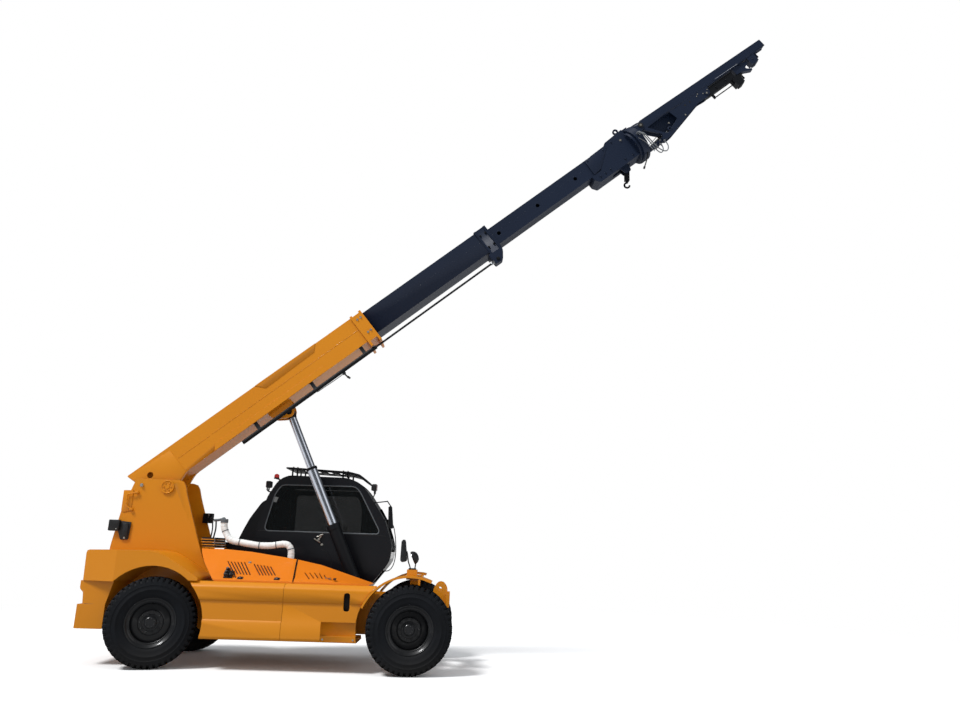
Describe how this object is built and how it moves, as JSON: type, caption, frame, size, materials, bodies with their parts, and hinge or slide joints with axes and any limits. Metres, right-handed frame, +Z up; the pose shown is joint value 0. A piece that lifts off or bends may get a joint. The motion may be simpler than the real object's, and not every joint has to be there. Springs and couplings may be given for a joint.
{
  "type": "telehandler",
  "caption": "Heavy telescopic handler on big tyres with a side cab, a three-section boom on a rear tower and a slewing clamp jib.",
  "frame": {"origin": "on the ground under the middle of the machine's outline", "axes": "+X forward along the machine, +Y to its left, +Z up"},
  "size_m": [11.0282, 2.6324, 11.4801],
  "materials": {
    "yellow_paint": "amber yellow gloss paint",
    "navy_paint": "near-black navy paint",
    "black_paint": "satin black paint",
    "tyre_rubber": "block tread tyre rubber",
    "bright_steel": "ground steel rod",
    "chrome_rod": "hard chrome cylinder rod",
    "cab_glass": "lightly tinted cab glass",
    "red_lens": "red beacon lens",
    "seat_cloth": "dark red seat cloth",
    "white_wrap": "white heat wrap",
    "hose_rubber": "black hose rubber"
  },
  "bodies": {
    "chassis": {"chassis_frame": "yellow_paint", "boom_tower": "yellow_paint", "counterweight": "yellow_paint", "rear_fender_right": "yellow_paint", "rear_fender_left": "yellow_paint", "side_cover_rear": "yellow_paint", "side_cover_front": "yellow_paint", "front_hood": "yellow_paint", "engine_block": "black_paint", "left_tank": "yellow_paint", "rear_axle": "black_paint", "front_axle": "black_paint", "front_fender_right": "yellow_paint", "front_fender_left": "yellow_paint", "fender_mirrors": "black_paint", "cab_shell": "black_paint", "cab_side_glass": "cab_glass", "windscreen": "cab_glass", "cab_rear_hatch": "black_paint", "roof_guard": "black_paint", "beacon": "red_lens", "tower_valve_box": "black_paint", "cab_mirror": "black_paint", "driver_seat": "seat_cloth", "steering_column": "black_paint", "control_console": "black_paint", "air_duct": "white_wrap", "cab_cable": "hose_rubber"},
    "boom_base": {"boom_base": "yellow_paint", "extension_barrel": "black_paint"},
    "boom_mid": {"boom_mid": "navy_paint", "extension_rod": "bright_steel"},
    "boom_inner": {"boom_inner": "navy_paint", "boom_head": "navy_paint"},
    "hook": {"lifting_hook": "black_paint"},
    "slew_head": {"slew_head": "navy_paint", "head_hose_a": "hose_rubber", "head_hose_b": "hose_rubber"},
    "jib": {"jib_arm": "navy_paint"},
    "jaw": {"clamp_jaw": "black_paint"},
    "tilt_barrel": {"tilt_barrel": "black_paint"},
    "tilt_rod": {"tilt_rod": "chrome_rod"},
    "lift_barrel": {"lift_barrel": "black_paint"},
    "lift_stage": {"lift_stage": "chrome_rod"},
    "lift_rod": {"lift_rod": "chrome_rod"},
    "engine_hood": {"engine_hood": "yellow_paint"},
    "cab_door": {"cab_door": "black_paint", "cab_door_glass": "cab_glass"},
    "knuckle_rear_right": {"knuckle_rear_right": "black_paint"},
    "wheel_rear_right": {"tyre_rear_right": "tyre_rubber", "rim_rear_right": "black_paint"},
    "knuckle_rear_left": {"knuckle_rear_left": "black_paint"},
    "wheel_rear_left": {"tyre_rear_left": "tyre_rubber", "rim_rear_left": "black_paint"},
    "knuckle_front_right": {"knuckle_front_right": "black_paint"},
    "wheel_front_right": {"tyre_front_right": "tyre_rubber", "rim_front_right": "black_paint"},
    "knuckle_front_left": {"knuckle_front_left": "black_paint"},
    "wheel_front_left": {"tyre_front_left": "tyre_rubber", "rim_front_left": "black_paint"}
  },
  "joints": [
    {"name": "boom_lift", "type": "hinge", "parent": "chassis", "child": "boom_base", "pos_m": [-4.624, 0, 2.57], "axis": [0, -1, 0], "range_deg": [-39.6, 22]},
    {"name": "boom_extend", "type": "slide", "parent": "boom_base", "child": "boom_mid", "axis": [0.7705, 0, 0.6374], "range_m": [-2.25, 0.3]},
    {"name": "inner_extend", "type": "slide", "parent": "boom_mid", "child": "boom_inner", "axis": [0.7705, 0, 0.6374], "range_m": [-2.15, 0.29]},
    {"name": "hook_swing", "type": "hinge", "parent": "boom_inner", "child": "hook", "pos_m": [2.81222, 0, 8.57902], "axis": [0, 1, 0], "range_deg": [-45, 30]},
    {"name": "head_slew", "type": "hinge", "parent": "boom_inner", "child": "slew_head", "pos_m": [2.95046, 0, 9.1022], "axis": [0.7705, 0, 0.6374], "range_deg": [-90, 90]},
    {"name": "jib_tilt", "type": "hinge", "parent": "slew_head", "child": "jib", "pos_m": [3.06131, 0, 9.48591], "axis": [0, -1, 0], "range_deg": [-20, 12]},
    {"name": "jaw_open", "type": "hinge", "parent": "jib", "child": "jaw", "pos_m": [4.33738, 0, 10.24956], "axis": [0, -1, 0], "range_deg": [-35, 0]},
    {"name": "tilt_barrel_swing", "type": "hinge", "parent": "slew_head", "child": "tilt_barrel", "pos_m": [3.20946, 0, 9.02444], "axis": [0, -1, 0], "range_deg": [-12.8, 7.8]},
    {"name": "tilt_rod_slide", "type": "slide", "parent": "tilt_barrel", "child": "tilt_rod", "axis": [0.6787, 0, 0.7344], "range_m": [-0.158, 0.095]},
    {"name": "lift_barrel_swing", "type": "hinge", "parent": "chassis", "child": "lift_barrel", "pos_m": [-1.424, 0, 0.75], "axis": [0, -1, 0], "range_deg": [-1.8, 1.1]},
    {"name": "lift_stage_slide", "type": "slide", "parent": "lift_barrel", "child": "lift_stage", "axis": [-0.4266, 0, 0.9044], "range_m": [-0.7, 0.39]},
    {"name": "lift_rod_slide", "type": "slide", "parent": "lift_stage", "child": "lift_rod", "axis": [-0.4266, 0, 0.9044], "range_m": [-0.85, 0.475]},
    {"name": "steer_rear_right", "type": "hinge", "parent": "chassis", "child": "knuckle_rear_right", "pos_m": [-4.394, -0.9, 0.62107], "axis": [0, 0, 1], "range_deg": [-47, 13]},
    {"name": "wheel_rear_right", "type": "hinge", "parent": "knuckle_rear_right", "child": "wheel_rear_right", "pos_m": [-4.37061, -0.9765, 0.62107], "axis": [-0.2924, 0.9563, 0], "continuous": true},
    {"name": "steer_rear_left", "type": "hinge", "parent": "chassis", "child": "knuckle_rear_left", "pos_m": [-4.394, 0.9, 0.62107], "axis": [0, 0, 1], "range_deg": [-47, 13]},
    {"name": "wheel_rear_left", "type": "hinge", "parent": "knuckle_rear_left", "child": "wheel_rear_left", "pos_m": [-4.41739, 0.9765, 0.62107], "axis": [-0.2924, 0.9563, 0], "continuous": true},
    {"name": "steer_front_right", "type": "hinge", "parent": "chassis", "child": "knuckle_front_right", "pos_m": [-0.704, -0.9, 0.62107], "axis": [0, 0, 1], "range_deg": [-37, 23]},
    {"name": "wheel_front_right", "type": "hinge", "parent": "knuckle_front_right", "child": "wheel_front_right", "pos_m": [-0.69425, -0.9794, 0.62107], "axis": [-0.1219, 0.9925, 0], "continuous": true},
    {"name": "steer_front_left", "type": "hinge", "parent": "chassis", "child": "knuckle_front_left", "pos_m": [-0.704, 0.9, 0.62107], "axis": [0, 0, 1], "range_deg": [-37, 23]},
    {"name": "wheel_front_left", "type": "hinge", "parent": "knuckle_front_left", "child": "wheel_front_left", "pos_m": [-0.71375, 0.9794, 0.62107], "axis": [-0.1219, 0.9925, 0], "continuous": true},
    {"name": "engine_hood_hinge", "type": "hinge", "parent": "chassis", "child": "engine_hood", "pos_m": [-3.1, -0.37, 1.7], "axis": [-1, 0, 0], "range_deg": [0, 65]},
    {"name": "cab_door_hinge", "type": "hinge", "parent": "chassis", "child": "cab_door", "pos_m": [-3.022, 1.176, 1.75], "axis": [0, 0, 1], "range_deg": [0, 85]}
  ],
  "couplings": [
    {"joint": "inner_extend", "follows": "boom_extend", "ratio": 0.95},
    {"joint": "tilt_barrel_swing", "follows": "jib_tilt", "ratio": 0.62},
    {"joint": "tilt_rod_slide", "follows": "jib_tilt", "m_per_rad": 0.435},
    {"joint": "lift_barrel_swing", "follows": "boom_lift", "ratio": 0.04},
    {"joint": "lift_stage_slide", "follows": "boom_lift", "m_per_rad": 1.005},
    {"joint": "lift_rod_slide", "follows": "boom_lift", "m_per_rad": 1.219},
    {"joint": "steer_rear_left", "follows": "steer_rear_right", "ratio": 1},
    {"joint": "steer_front_left", "follows": "steer_front_right", "ratio": 1}
  ]
}
